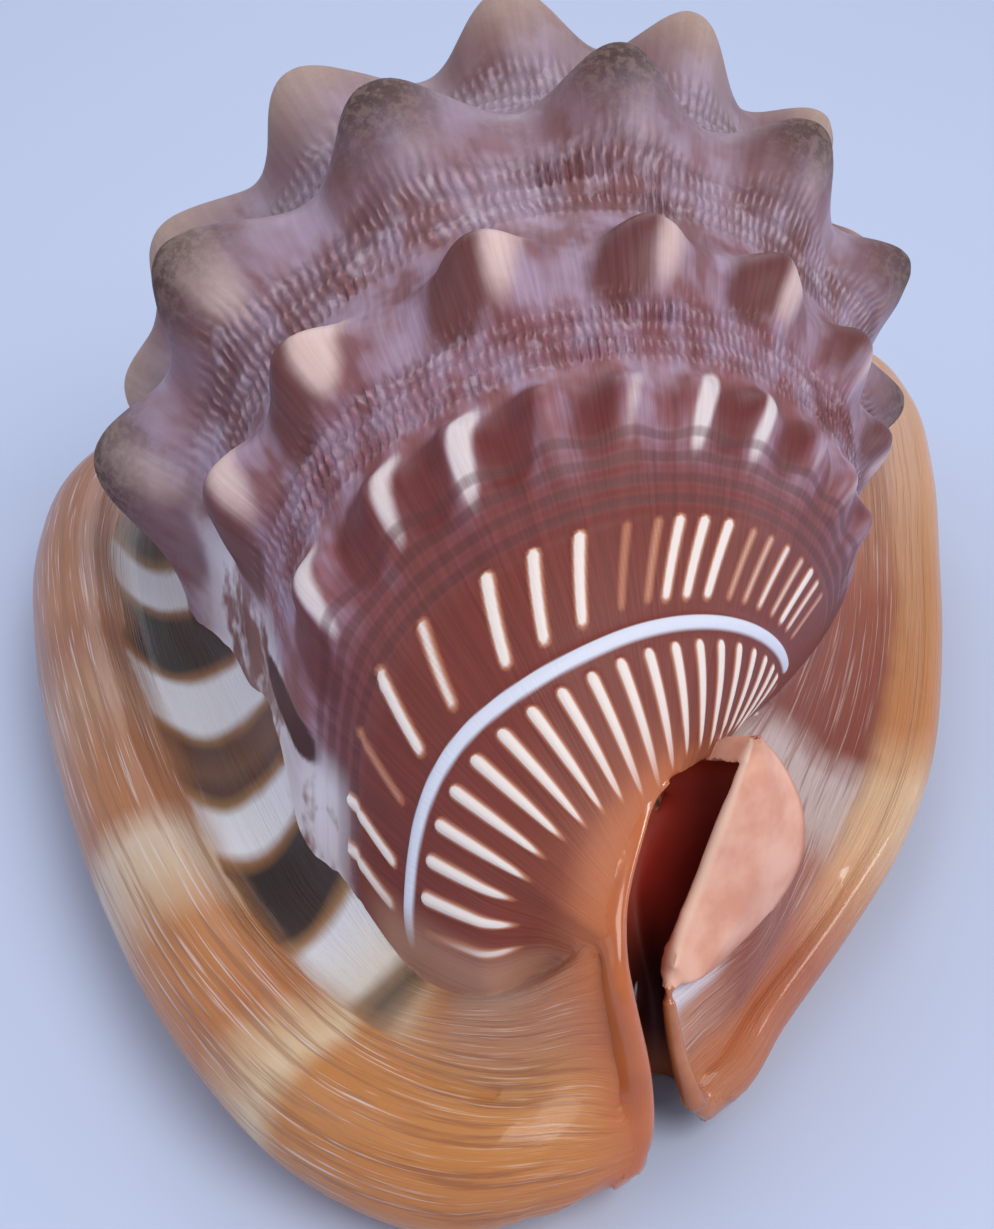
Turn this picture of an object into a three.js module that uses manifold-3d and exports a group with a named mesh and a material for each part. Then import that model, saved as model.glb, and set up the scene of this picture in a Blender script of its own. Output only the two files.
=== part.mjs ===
// Bullmouth helmet shell, lying on its mouth.
// Millimetres, +Z up. X runs from the outer lip to the shield, Y from the siphonal canal to the spire.
import * as THREE from 'three';
import { ParametricGeometry } from 'three/addons/geometries/ParametricGeometry.js';
import { LoftGeometry } from 'three/addons/geometries/LoftGeometry.js';
import { mergeVertices } from 'three/addons/utils/BufferGeometryUtils.js';
import Module from 'manifold-3d';

// The whorl grows by a fixed share per turn while it slides towards the canal
const growth = 0.133;
const slide = 9.6;
const axisHeight = 27;
const foldAngle = 135;
const restLevel = 3;
const spireLift = 22;

// Half profile of the last whorl above the axis: place along the axis, radius
const profile = [
  [-13, 0], [-11, 6], [-6, 12], [0, 18.2], [9, 25.6], [18.2, 31.2], [29, 34.6], [40.5, 37],
  [53, 40], [66.1, 42.6], [80, 43.2], [93.7, 41.4], [101, 36], [106.5, 27], [111, 16], [115, 0],
];
const profileSteps = 3;
const whorlColumns = 72;

// Rows of knobs: place along the axis, height, half width, half length and the angles they stand at
const knobRows = [
  { place: 93.7, height: 10.5, wide: 6.6, long: 8.2, angles: [-36, -10, 18, 46, 74, 101, 130, 155, 174] },
  { place: 66.1, height: 10, wide: 6.6, long: 7.6, angles: [1, 30, 58, 88, 118, 147, 171] },
  { place: 40.5, height: 5, wide: 4.8, long: 5, angles: [16, 40, 63, 86, 111, 138, 158] },
  { place: 18.2, height: 2.4, wide: 2.6, long: 4, angles: [25, 39, 52, 67, 80, 93, 107, 121, 134, 149] },
];
const knobSharpness = 0.8;
const keelShare = 0.16;

// The whorl is drawn in beside the outer lip, over the middle of its length
const waistDepth = 0.07;
const lipSideDepth = 0.07;

// Low spire: earlier whorls coil inwards from the shoulder, each with a ramp, a suture and a small step
const shoulderPlace = 93.7;
const shoulderRadius = 41.4;
const spireTop = 116;
const spireHeight = 21;
const rampShare = 0.15;
const spireKnobs = 11;
const spireKnobHeight = 0.09;

// Lines of the outer lip, from the spire round to the canal: rolled rim, crease on the whorl, mouth
const lipRim = [
  [-17, 110, 22], [-38, 117, 14], [-63, 108, 11], [-74, 93, 10], [-75.3, 75, 9.5], [-71, 51, 9],
  [-64, 27.5, 9], [-56, 6.5, 9], [-46, -13, 9], [-34, -27.7, 8.5], [-21, -34, 8], [-9.5, -33, 8],
  [-1.6, -27.5, 8],
];
const lipCrease = [
  [-10, 103, 31], [-27, 102, 29], [-40, 95, 27], [-48, 84, 26], [-51, 66, 25], [-47, 46, 24.5],
  [-40.5, 28, 25.5], [-34, 9, 27.5], [-29, -3, 24], [-22, -15.5, 18.5], [-15.5, -21.5, 21.5],
  [-9.5, -24, 27.5], [-3, -21, 31],
];
const lipMouth = [
  [-15, 100], [-17, 96], [-20, 89], [-22.5, 79], [-23.5, 67], [-22.5, 53], [-19.5, 36],
  [-14.5, 17], [-9.5, 2], [-5.5, -8], [-2.5, -14], [0, -17.5], [2.5, -20],
];
const lipRoll = 7.5;
const lipSag = 6;

// Lines of the shield, from the canal back to the spire
const shieldRim = [
  [4, -22, 4], [8.4, -17.4, 5], [13, -10.8, 6], [22.5, 2, 7], [29.5, 12, 8.5], [36, 25, 10], [42, 45, 12],
  [46, 63, 14], [49.8, 82, 16], [51, 100, 18.5], [47, 113, 20], [32, 119, 20], [4.4, 108.1, 25],
];
const shieldCrease = [
  [-0.2, -18.5, 18], [5, -12, 18], [11, -7, 18], [11, 1, 21], [11, 11, 22], [17, 25, 23], [24, 43, 23],
  [28, 62, 24], [30, 80, 25], [30, 95, 27], [26, 102, 30], [16, 104, 31], [2, 104, 32],
];
const shieldMouth = [
  [-1.6, -23], [-1.2, -19], [-2.5, -14], [-5.5, -8], [-9.5, 2], [-14.5, 17], [-19.5, 36],
  [-22.5, 53], [-23.5, 67], [-22.5, 79], [-20, 89], [-17, 96], [-15, 100],
];
const shieldRoll = 3;
const shieldSag = 2.5;

const lipSections = 40;
const coreHeight = 24;
const seamOverlap = 1.5;
const narrowRollShare = 0.35;
const canalFill = 1.6;

// Mouth: a long slit between two rows of teeth, deeper and wider inside
const mouthHalfWidth = 4.2;
const mouthDepth = 17;
const toothReach = 1.1;
const toothCount = 21;
const stepsPerTooth = 4;
const mouthStart = 0.02;
const mouthEnd = 0.97;

// Siphonal canal: a gap that climbs the front of the neck, left wall, right wall and back at each height
const canalLevels = [
  { z: -1, left: -2.2, right: 1.4, back: -12 },
  { z: 6, left: -2.4, right: 1.5, back: -12 },
  { z: 12, left: -2.8, right: 1.3, back: -12 },
  { z: 18, left: -4, right: 0.6, back: -10 },
  { z: 23, left: -4.6, right: 1.8, back: -7 },
  { z: 28, left: -3.2, right: 3.4, back: -4.5 },
  { z: 33, left: -0.6, right: 5.8, back: -4 },
  { z: 42, left: 1, right: 9.2, back: -4 },
];
const canalFront = -60;

// Flap: the free edge of the canal's right wall and the side that grows from the shield
const flapEdge = [[8.5, -5, 36.5], [6.2, -9.2, 34], [3, -12.4, 28], [-0.3, -18, 19.5]];
const flapSide = [[11.5, -2, 34], [14, -4.5, 30], [14.5, -6.5, 24.5], [11, -9, 16.5]];
const flapBack = [2, 9, -2];
const flapThickness = 2.2;

// Ribs on the neck, one on every other column of the whorl, from the white thread towards the canal
const ribRise = 0.8;
const ribStart = -1;
const ribEnd = -12;

// Limits for the clean surface that the cuts leave
const shortestEdge = 0.2;
const thinnestSliver = 0.08;
const cleanRounds = 4;

const wasm = await Module();
wasm.setup();

const radians = THREE.MathUtils.degToRad;
const smooth = THREE.MathUtils.smoothstep;
const profileCurve = new THREE.SplineCurve(profile.map(([w, r]) => new THREE.Vector2(w, r)));

// Growth phase at an angle round the axis: straight over the back, folding back under the mouth
function growthPhase(angle) {
  const low = -90 + (180 - foldAngle);
  const high = 90 + foldAngle;
  if (angle > high) {
    return radians(foldAngle) * Math.cos(Math.PI * (angle - high) / (360 - 2 * foldAngle));
  }
  if (angle < low) {
    return radians(foldAngle) * Math.cos(Math.PI * (angle + 360 - high) / (360 - 2 * foldAngle));
  }
  return radians(angle - 90);
}

function knobHeight(angle, place, radius) {
  let height = 0;
  for (const row of knobRows) {
    const along = (place - row.place) / row.long;
    for (const knob of row.angles) {
      const across = radians(angle - knob) * radius / row.wide;
      height += row.height * Math.exp(-Math.pow(across * across + along * along, knobSharpness));
    }
    const inRow = smooth(angle, -30, 0) * (1 - smooth(angle, 185, 205));
    height += row.height * keelShare * inRow * Math.exp(-along * along);
  }
  return height;
}

// Height of the spire over the apex side, at an angle and a distance from the axis
function spirePlace(angle, distance) {
  const ratio = Math.exp(2 * Math.PI * growth);
  const turn = radians(angle - 90);
  const whorls = Math.log(shoulderRadius * Math.exp(growth * turn) / Math.max(distance, 1)) / Math.log(ratio);
  const whorl = Math.max(Math.floor(whorls), 0);
  const across = whorls - whorl;
  const size = Math.exp(growth * (turn - 2 * Math.PI * whorl));
  const climb = rampShare * smooth(across, 0, 0.6) + (1 - rampShare) * smooth(across, 0.55, 0.9);
  const knob = spireKnobHeight * Math.max(Math.cos(spireKnobs * turn), 0) * smooth(across, 0.75, 0.95);
  return spireTop - spireHeight * size * (1 - (1 - 1 / ratio) * climb - knob);
}

function whorlPoint(angle, place, radius) {
  const phase = growthPhase(angle);
  const size = Math.exp(growth * phase);
  const raised = radius > 0 ? radius + knobHeight(angle, place, radius) : 0;
  const beside = smooth(angle, 140, 185) * (1 - smooth(angle, 225, 270));
  const waist = beside * smooth(place, -4, 14) * (1 - smooth(place, 34, 60));
  const drawnIn = 1 - waistDepth * waist - lipSideDepth * beside;
  const out = raised * THREE.MathUtils.lerp(1, size, smooth(radius, 0, 12)) * drawnIn;
  const x = out * Math.cos(radians(angle));
  const z = axisHeight + out * Math.sin(radians(angle));
  const onSpire = smooth(place, shoulderPlace, shoulderPlace + 7);
  const onWhorl = radius > 0 ? place - slide * phase : place;
  const y = THREE.MathUtils.lerp(onWhorl, spirePlace(angle, out), onSpire);
  const floor = restLevel + spireLift * smooth(y, 70, 112);
  return new THREE.Vector3(x, y, Math.max(z, floor));
}

// Angles are closer together over the back than under the mouth
function columnAngle(u) {
  const under = 0.16;
  if (u < under / 2) return -90 + u * 45 / (under / 2);
  if (u > 1 - under / 2) return 225 + (u - 1 + under / 2) * 45 / (under / 2);
  return -45 + (u - under / 2) * 270 / (1 - under);
}

function toSolid(geometry) {
  const plain = new THREE.BufferGeometry();
  plain.setAttribute('position', geometry.getAttribute('position'));
  plain.setIndex(geometry.getIndex());
  const merged = mergeVertices(plain, 1e-3);
  const corners = [];
  for (let i = 0; i < merged.index.count; i += 3) {
    const [a, b, c] = [merged.index.getX(i), merged.index.getX(i + 1), merged.index.getX(i + 2)];
    if (a !== b && b !== c && c !== a) corners.push(a, b, c);
  }
  const mesh = new wasm.Mesh({
    numProp: 3,
    vertProperties: new Float32Array(merged.attributes.position.array),
    triVerts: new Uint32Array(corners),
  });
  return new wasm.Manifold(mesh);
}

// A loft whose two ends are closed by a fan to the middle of the end section
function loft(sections) {
  const middle = (section) => {
    const sum = section.reduce((total, point) => total.add(point), new THREE.Vector3());
    return section.map(() => sum.clone().divideScalar(section.length));
  };
  const closed = [middle(sections[0]), ...sections, middle(sections.at(-1))];
  return toSolid(new LoftGeometry(closed, { closed: true }));
}

function makeWhorl() {
  const surface = (u, v, target) => {
    const half = profileCurve.getPoint(v);
    const atPole = v === 0 || v === 1;
    const angle = atPole ? 90 : columnAngle(u === 0 ? 0 : 1 - u);
    const onRib = Math.round(u * whorlColumns) % 2 === 0 && half.x < ribStart && half.x > ribEnd;
    target.copy(whorlPoint(angle, half.x, atPole ? 0 : half.y + (onRib ? ribRise : 0)));
  };
  return toSolid(new ParametricGeometry(surface, whorlColumns, (profile.length - 1) * profileSteps));
}

function curveThrough(points) {
  return new THREE.CatmullRomCurve3(points.map(([x, y, z = 0]) => new THREE.Vector3(x, y, z)));
}

// One cross-section of a lip: along the flat underside, round the rim, down the channel and up to the crease
function lipSection(rim, crease, mouth, fullRoll, sag) {
  const outward = new THREE.Vector3(rim.x - mouth.x, rim.y - mouth.y, 0);
  const roll = Math.min(fullRoll, outward.length() * narrowRollShare);
  outward.normalize();
  const lowest = Math.max(rim.z - roll * 1.2, 0);
  const inner = mouth.clone().addScaledVector(outward, -seamOverlap);
  const onRim = (turn, reach = roll) => rim.clone()
    .addScaledVector(outward, reach * (Math.cos(radians(turn)) - 1))
    .setZ(Math.max(rim.z + roll * Math.sin(radians(turn)), lowest));
  const flatEnd = rim.clone().addScaledVector(outward, -roll * 1.6 - lowest).setZ(0);
  const crest = onRim(100);
  const channel = (share) => crest.clone().lerp(crease, share)
    .add(new THREE.Vector3(0, 0, -sag * Math.sin(Math.PI * share)));
  return [
    inner, inner.clone().lerp(flatEnd, 0.5), flatEnd, onRim(-50), onRim(-15), onRim(20), onRim(60), crest,
    channel(0.25), channel(0.5), channel(0.75), crease, inner.clone().setZ(coreHeight),
  ];
}

function makeLip(rimLine, creaseLine, mouthLine, roll, sag) {
  const [rim, crease, mouth] = [rimLine, creaseLine, mouthLine].map(curveThrough);
  const sections = [];
  for (let i = 0; i <= lipSections; i++) {
    const t = i / lipSections;
    const [onRim, onCrease, onMouth] = [rim, crease, mouth].map((line) => line.getPoint(t));
    const localSag = sag * (1 - canalFill * (1 - smooth(onMouth.y, -16, 8)));
    sections.push(lipSection(onRim, onCrease, onMouth, roll, localSag).reverse());
  }
  return loft(sections);
}

function makeMouth() {
  const line = curveThrough(lipMouth);
  const steps = toothCount * stepsPerTooth;
  const shape = new THREE.Shape();
  const sides = [[], []];
  for (let i = 0; i <= steps; i++) {
    const t = THREE.MathUtils.lerp(mouthStart, mouthEnd, i / steps);
    const [point, along] = [line.getPoint(t), line.getTangent(t)];
    const [middle, across] = [new THREE.Vector2(point.x, point.y), new THREE.Vector2(-along.y, along.x)];
    const taper = smooth(t, -0.03, 0.12);
    const tooth = toothReach * Math.cos(2 * Math.PI * i / stepsPerTooth) * (1 - smooth(t, 0.85, 0.95));
    const half = (mouthHalfWidth + tooth) * taper;
    sides[0].push(middle.clone().addScaledVector(across, half));
    sides[1].push(middle.clone().addScaledVector(across, -half));
  }
  shape.setFromPoints([...sides[0], ...sides[1].reverse()]);
  const slit = new THREE.ExtrudeGeometry(shape, { depth: mouthDepth + 1, bevelEnabled: false, steps: 1 });
  slit.translate(0, 0, -1);
  return toSolid(slit);
}

function makeCanal() {
  const sections = canalLevels.map(({ z, left, right, back }) => [
    new THREE.Vector3(left, canalFront, z), new THREE.Vector3(right, canalFront, z),
    new THREE.Vector3(right, back - 3, z), new THREE.Vector3(right - 1.2, back, z),
    new THREE.Vector3(left + 0.8, back, z), new THREE.Vector3(left, back - 3, z),
  ]);
  return loft(sections);
}

function makeFlap() {
  const [edge, side] = [flapEdge, flapSide].map(curveThrough);
  const back = new THREE.Vector3(...flapBack);
  const sections = [];
  const steps = 8;
  for (let i = 0; i <= steps; i++) {
    const [e, s] = [edge.getPoint(i / steps), side.getPoint(i / steps)];
    const middle = e.clone().lerp(s, 0.5).add(new THREE.Vector3(0.6, -1.4, 0.6));
    sections.push([
      e, middle, s, s.clone().add(back), e.clone().lerp(s, 0.5).add(back),
      e.clone().add(new THREE.Vector3(flapThickness * 0.4, flapThickness, 0)),
    ].reverse());
  }
  return loft(sections);
}

// Triangles that use each vertex
function trianglesAround(corners, vertexCount) {
  const around = Array.from({ length: vertexCount }, () => new Set());
  corners.forEach((triangle, index) => triangle.forEach((vertex) => around[vertex].add(index)));
  return around;
}

// Closes every edge shorter than the limit, where the surface stays one closed sheet
function closeShortEdges(points, corners, limit) {
  const around = trianglesAround(corners, points.length);
  const neighbours = (vertex) => new Set([...around[vertex]].flatMap((index) => corners[index]));
  const length = (a, b) => points[a].distanceTo(points[b]);
  for (let index = 0; index < corners.length; index++) {
    for (let side = 0; corners[index] && side < 3; side++) {
      const [keep, drop] = [corners[index][side], corners[index][(side + 1) % 3]];
      if (length(keep, drop) > limit) continue;
      const others = neighbours(drop);
      const shared = [...neighbours(keep)].filter((vertex) => others.has(vertex));
      if (shared.length !== 4) continue;
      for (const old of [...around[drop]]) {
        if (corners[old].includes(keep)) {
          corners[old].forEach((vertex) => around[vertex].delete(old));
          corners[old] = null;
        } else {
          corners[old] = corners[old].map((vertex) => (vertex === drop ? keep : vertex));
          around[keep].add(old);
        }
      }
      around[drop].clear();
    }
  }
}

// Turns the long edge of each flat sliver, so that no corner lies on the opposite side
function turnSlivers(points, corners, limit) {
  const around = trianglesAround(corners, points.length);
  for (let index = 0; index < corners.length; index++) {
    const ends = [[0, 1], [1, 2], [2, 0]].map((pair) => pair.map((corner) => points[corners[index][corner]]));
    const lengths = ends.map(([from, to]) => from.distanceTo(to));
    const side = lengths.indexOf(Math.max(...lengths));
    const [a, b, c] = [0, 1, 2].map((step) => corners[index][(side + step) % 3]);
    const area = new THREE.Triangle(points[a], points[b], points[c]).getArea();
    if (2 * area / lengths[side] > limit) continue;
    const other = [...around[a]].find((old) => old !== index && corners[old].includes(b));
    const d = corners[other].find((vertex) => vertex !== a && vertex !== b);
    if ([...around[c]].some((old) => corners[old].includes(d))) continue;
    around[b].delete(index);
    around[a].delete(other);
    around[d].add(index);
    around[c].add(other);
    corners[index] = [a, d, c];
    corners[other] = [d, b, c];
  }
}

function makeShell() {
  let solid = makeWhorl();
  solid = solid.add(makeLip(lipRim, lipCrease, lipMouth, lipRoll, lipSag));
  solid = solid.add(makeLip(shieldRim, shieldCrease, shieldMouth, shieldRoll, shieldSag));
  solid = solid.subtract(makeCanal()).add(makeFlap()).subtract(makeMouth());
  const cut = solid.getMesh();
  const points = [];
  for (let i = 0; i < cut.vertProperties.length; i += 3) {
    points.push(new THREE.Vector3().fromArray(cut.vertProperties, i));
  }
  let corners = [];
  for (let i = 0; i < cut.triVerts.length; i += 3) corners.push(Array.from(cut.triVerts.slice(i, i + 3)));
  for (let round = 0; round < cleanRounds; round++) {
    closeShortEdges(points, corners, shortestEdge);
    corners = corners.filter((triangle) => triangle);
    turnSlivers(points, corners, thinnestSliver);
  }
  const geometry = new THREE.BufferGeometry();
  geometry.setFromPoints(points);
  geometry.setIndex(corners.flat());
  geometry.computeBoundingBox();
  const middle = geometry.boundingBox.getCenter(new THREE.Vector3());
  geometry.translate(-middle.x, -middle.y, -geometry.boundingBox.min.z);
  return geometry;
}

const shellMaterial = new THREE.MeshStandardMaterial({ color: 0xb9764f, roughness: 0.45, metalness: 0 });
const shell = new THREE.Mesh(makeShell(), shellMaterial);
shell.name = 'shell';

const helmetShell = new THREE.Group();
helmetShell.add(shell);

export default helmetShell;
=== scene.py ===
# Bullmouth helmet shell lying on its mouth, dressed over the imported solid
import math

import bmesh
import bpy
import numpy as np
from mathutils import Matrix, Vector
from mathutils.kdtree import KDTree


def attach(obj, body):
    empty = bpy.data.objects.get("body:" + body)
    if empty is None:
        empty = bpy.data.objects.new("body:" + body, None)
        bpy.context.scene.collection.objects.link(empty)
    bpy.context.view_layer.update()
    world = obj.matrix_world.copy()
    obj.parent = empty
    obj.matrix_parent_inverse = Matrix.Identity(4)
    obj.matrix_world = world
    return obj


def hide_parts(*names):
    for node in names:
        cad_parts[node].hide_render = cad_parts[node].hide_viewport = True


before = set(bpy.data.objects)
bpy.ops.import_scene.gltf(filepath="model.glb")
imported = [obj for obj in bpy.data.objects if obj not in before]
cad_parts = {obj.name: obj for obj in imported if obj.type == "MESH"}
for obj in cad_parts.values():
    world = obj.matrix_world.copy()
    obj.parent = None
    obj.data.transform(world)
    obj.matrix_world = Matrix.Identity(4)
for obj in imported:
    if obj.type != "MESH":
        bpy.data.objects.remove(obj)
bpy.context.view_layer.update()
millimetre = 0.001
axisInFrame = np.array([12.12, -42.334, 0])  # where the coil's own zero stands in the shared frame, mm
print("frame loaded")


# Small helpers
def smooth(value, low, high):
    share = np.clip((value - low) / (high - low), 0, 1)
    return share * share * (3 - 2 * share)


def mixed(first, second, share):
    return first + (second - first) * share


def hump(value, centre, width):
    return np.exp(-((value - centre) / width) ** 2)


def band(value, low, high, soft):
    return smooth(value, low - soft, low + soft) * (1 - smooth(value, high - soft, high + soft))


# One between the two middle values, falling to nothing at the outer two
def plateau(value, start, low, high, stop):
    return smooth(value, start, low) * (1 - smooth(value, high, stop))


# Rounded random heights on a line, the same on every run
def waver(value, seed):
    cell = np.floor(value)
    share = value - cell
    share = share * share * (3 - 2 * share)
    first = np.modf(np.sin(cell * 12.9898 + seed * 78.233) * 43758.5453)[0]
    second = np.modf(np.sin((cell + 1) * 12.9898 + seed * 78.233) * 43758.5453)[0]
    return mixed(first, second, share)


def cubic(start, stop, leave, reach, part):
    square = -3 * start + 3 * stop - 2 * leave - reach
    cube = 2 * start - 2 * stop + leave + reach
    return start + leave * part + square * part**2 + cube * part**3


# A curve through given points, eased by the distance between them
def curveThrough(points, share):
    line = np.array(points, float)
    last = len(line) - 1
    ends = np.vstack([2 * line[0] - line[1], line, 2 * line[-1] - line[-2]])
    index = np.clip(np.floor(share * last).astype(int), 0, last - 1)
    part = (share * last - index)[..., None]
    before, start, stop, after = (ends[index + step] for step in range(4))

    def gap(a, b):
        return np.maximum(np.sum((a - b) ** 2, -1, keepdims=True) ** 0.25, 1e-4)

    gapIn, gapHere, gapOut = gap(before, start), gap(start, stop), gap(stop, after)
    slope = (stop - start) / gapHere
    leave = ((start - before) / gapIn - (stop - before) / (gapIn + gapHere) + slope) * gapHere
    reach = (slope - (after - start) / (gapHere + gapOut) + (after - stop) / gapOut) * gapHere
    return cubic(start, stop, leave, reach, part)


def addObject(name, data):
    made = bpy.data.objects.new(name, data)
    bpy.context.scene.collection.objects.link(made)
    return made


def meshFrom(name, bm):
    mesh = bpy.data.meshes.new(name)
    bm.to_mesh(mesh)
    bm.free()
    return mesh


# A grid whose points are pushed to their places, then closed where its edges meet
def shapedGrid(name, columns, rows, shape):
    bm = bmesh.new()
    bmesh.ops.create_grid(bm, x_segments=columns, y_segments=rows, size=0.5)
    flat = np.array([vert.co for vert in bm.verts])
    across, along = flat[:, 0] + 0.5, flat[:, 1] + 0.5
    places, notes = shape(across, along)
    layer = bm.verts.layers.float_vector.new("notes")
    for vert, place, note in zip(bm.verts, places, notes):
        vert.co = place
        vert[layer] = note
    bmesh.ops.remove_doubles(bm, verts=bm.verts, dist=1e-4)
    bmesh.ops.dissolve_degenerate(bm, edges=bm.edges, dist=1e-5)
    bmesh.ops.recalc_face_normals(bm, faces=bm.faces)
    return addObject(name, meshFrom(name, bm))


# A tube whose first and last columns close it at a centre
def makeTube(name, count, ring, form):
    def shape(across, along):
        column = np.round(across * (count + 2)).astype(int)
        share = np.clip((column - 1) / count, 0, 1)
        atEnd = (column == 0) | (column == count + 2)
        places, centre, notes = form(share, along)
        return np.where(atEnd[:, None], centre, places), np.stack([share, *notes], -1)

    return shapedGrid(name, count + 2, ring, shape)


# The strand of a ring that each point lies on, and how far along that strand it is
def alongRing(along, counts):
    starts = np.concatenate([[0], np.cumsum(counts)])
    ring = np.round(along * starts[-1]).astype(int)
    strand = np.clip(np.searchsorted(starts, ring, side="right") - 1, 0, len(counts) - 1)
    return ring, strand, (ring - starts[strand]) / np.array(counts)[strand]


def pick(choices, index):
    return np.select([(index == k)[:, None] for k in range(len(choices))], choices)


def unit(vectors):
    return vectors / np.linalg.norm(vectors, axis=1)[:, None]


# The coiled body
whorl = dict(
    growth=0.133, slide=9.6, axisHeight=27, foldAngle=135, restLevel=3,
    profile=[[-13, 0], [-11, 6], [-6, 12], [0, 18.2], [9, 25.6], [18.2, 31.2], [29, 34.6], [40.5, 37],
             [53, 40], [66.1, 42.6], [80, 43.2], [93.7, 41.4], [101, 36], [106.5, 27], [111, 16], [115, 0]],
    besideLip=(140, 185, 225, 270), waistSpan=(-4, 14, 34, 60), waistDepth=0.07, lipSideDepth=0.07,
    poleReach=12, tipTurn=1.25, tipSpan=(9, 15), spireLift=22, liftSpan=(70, 112),
    shieldSide=(4, 18), shieldSideDrop=0.35, tuck=9, tuckAcross=(10, 20), tuckBelow=(17, 24), tuckAlong=(80, 100),
    back=(-45, 205), backColumns=330, underColumns=20,
    rowsPerSpan=[8, 16, 20, 24, 16, 13, 13, 13, 13, 13, 13, 11, 10, 12, 14],
)
knobRows = dict(
    shoulder=dict(place=93.7, height=10.5, wide=7, long=8, angles=[-36, -10, 18, 46, 74, 101, 130, 155, 174]),
    upper=dict(place=66.1, height=9.6, wide=7, long=7.4, angles=[1, 30, 58, 88, 118, 147, 171]),
    middle=dict(place=40.5, height=5, wide=4.8, long=5, angles=[16, 40, 63, 86, 111, 138, 158]),
    lower=dict(place=18.2, height=2.4, wide=2.6, long=4, angles=[25, 39, 52, 67, 80, 93, 107, 121, 134, 151]),
)
knobForm = dict(sharpness=1.02, keel=0.16, keelReach=(-30, 0, 185, 205))
spire = dict(
    place=93.7, radius=41.4, top=116, height=21, blend=7, ramp=0.15, rampSpan=(0, 0.6), stepSpan=(0.55, 0.9),
    knobs=11, knobHeight=0.16, knobSpan=(0.5, 0.74, 0.78, 1), suture=0.055, sutureAt=0.46, sutureWide=0.07,
    sutureFade=(1, 5), softFrom=4, softReach=30, softRounds=5,
)
neck = dict(
    ribPitch=8.7, ribZero=86, ribWide=0.175, ribRise=0.55, ribTop=-1.3, ribFoot=-8.6, ribUneven=1.3, ribThin=0.55,
    ribLean=0.5, ribFan=1.4, fanSpan=(30, 130), ribReach=(8, 24, 184, 192),
    threadWide=0.5, threadRise=0.45, threadReach=(14, 22, 190, 198), climb=2.6, climbSpan=(105, 195),
    dashFoot=1.8, dashTop=8.2, dashMiddle=5, dashLean=0.7, dashWide=1.25, dashRise=0.4,
    dashes=[(186, 0.9), (177, 1), (164, 0.35), (152.5, 0.9), (141, 0.6), (127, 0.95), (117.5, 0.95), (108, 0.95),
            (98, 0.3), (91, 0.35), (86, 0.85), (80, 0.95), (73.5, 1), (66, 0.4), (60, 0.45), (53.5, 0.6),
            (46.5, 0.5), (40.5, 0.9), (35, 0.6), (29, 0.4)],
)
relief = dict(
    wrinklePitch=1.5, beadPitch=2.5, bands=[(24.5, 34.5, 1), (50.5, 59.5, 1.2), (73, 86, 1)], bandSoft=1.3,
    wrinkleDepth=0.29, wrinkleEnd=(156, 170), beadDepth=0.13, fineBand=(8.6, 15.2), fineSoft=0.8, fineThread=1.7,
    fineDepth=0.17, ripple=0.18, rippleSpan=(10, 24, 90, 98), back=(-30, -5, 185, 200),
)


def growthPhase(angle):
    high = 90 + whorl["foldAngle"]
    span = 360 - 2 * whorl["foldAngle"]
    fold = math.radians(whorl["foldAngle"])
    phase = np.radians(angle - 90)
    phase = np.where(angle > high, fold * np.cos(np.pi * (angle - high) / span), phase)
    return np.where(angle < high - 270, fold * np.cos(np.pi * (angle + 360 - high) / span), phase)


# Height of the knobs and of the low keel that joins the knobs of a row
def knobField(angle, place, radius):
    height = np.zeros_like(place)
    for row in knobRows.values():
        along = (place - row["place"]) / row["long"]
        for knob in row["angles"]:
            across = np.radians(angle - knob) * radius / row["wide"]
            height += row["height"] * np.exp(-np.power(across**2 + along**2, knobForm["sharpness"]))
        inRow = plateau(angle, *knobForm["keelReach"])
        height += row["height"] * knobForm["keel"] * inRow * np.exp(-along**2)
    return height


# The white thread climbs a little where the whorl nears the outer lip
def aboveThread(angle, place):
    return place - neck["climb"] * smooth(angle, *neck["climbSpan"])


def ribMask(angle, place):
    level = aboveThread(angle, place)
    lean = neck["ribLean"] + neck["ribFan"] * (1 - smooth(angle, *neck["fanSpan"]))
    rib = (angle + lean * (-1 - level) - neck["ribZero"]) / neck["ribPitch"]
    off = rib - np.round(rib)
    foot = neck["ribFoot"] + neck["ribUneven"] * waver(np.round(rib) + 0.5, 6)
    taper = smooth(level, foot - 1.5, foot + 4)
    ends = smooth(level, foot - 0.8, foot + 1.2)
    ends = ends * (1 - smooth(level, neck["ribTop"] - 0.5, neck["ribTop"] + 0.4))
    wide = neck["ribWide"] * mixed(neck["ribThin"], 1, taper)
    return np.exp(-(off / wide) ** 2) * ends * plateau(angle, *neck["ribReach"])


def threadMask(angle, place):
    return hump(aboveThread(angle, place), 0, neck["threadWide"]) * plateau(angle, *neck["threadReach"])


def dashMask(angle, place):
    level = aboveThread(angle, place)
    leant = angle + neck["dashLean"] * (level - neck["dashMiddle"])
    mask = np.zeros_like(place)
    for centre, strength in neck["dashes"]:
        mask = np.maximum(mask, strength * hump(leant, centre, neck["dashWide"]))
    return mask * band(level, neck["dashFoot"], neck["dashTop"], 0.45)


def wrinkleMask(place):
    mask = np.zeros_like(place)
    for low, high, strength in relief["bands"]:
        mask += strength * band(place, low, high, relief["bandSoft"])
    return mask


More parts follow.
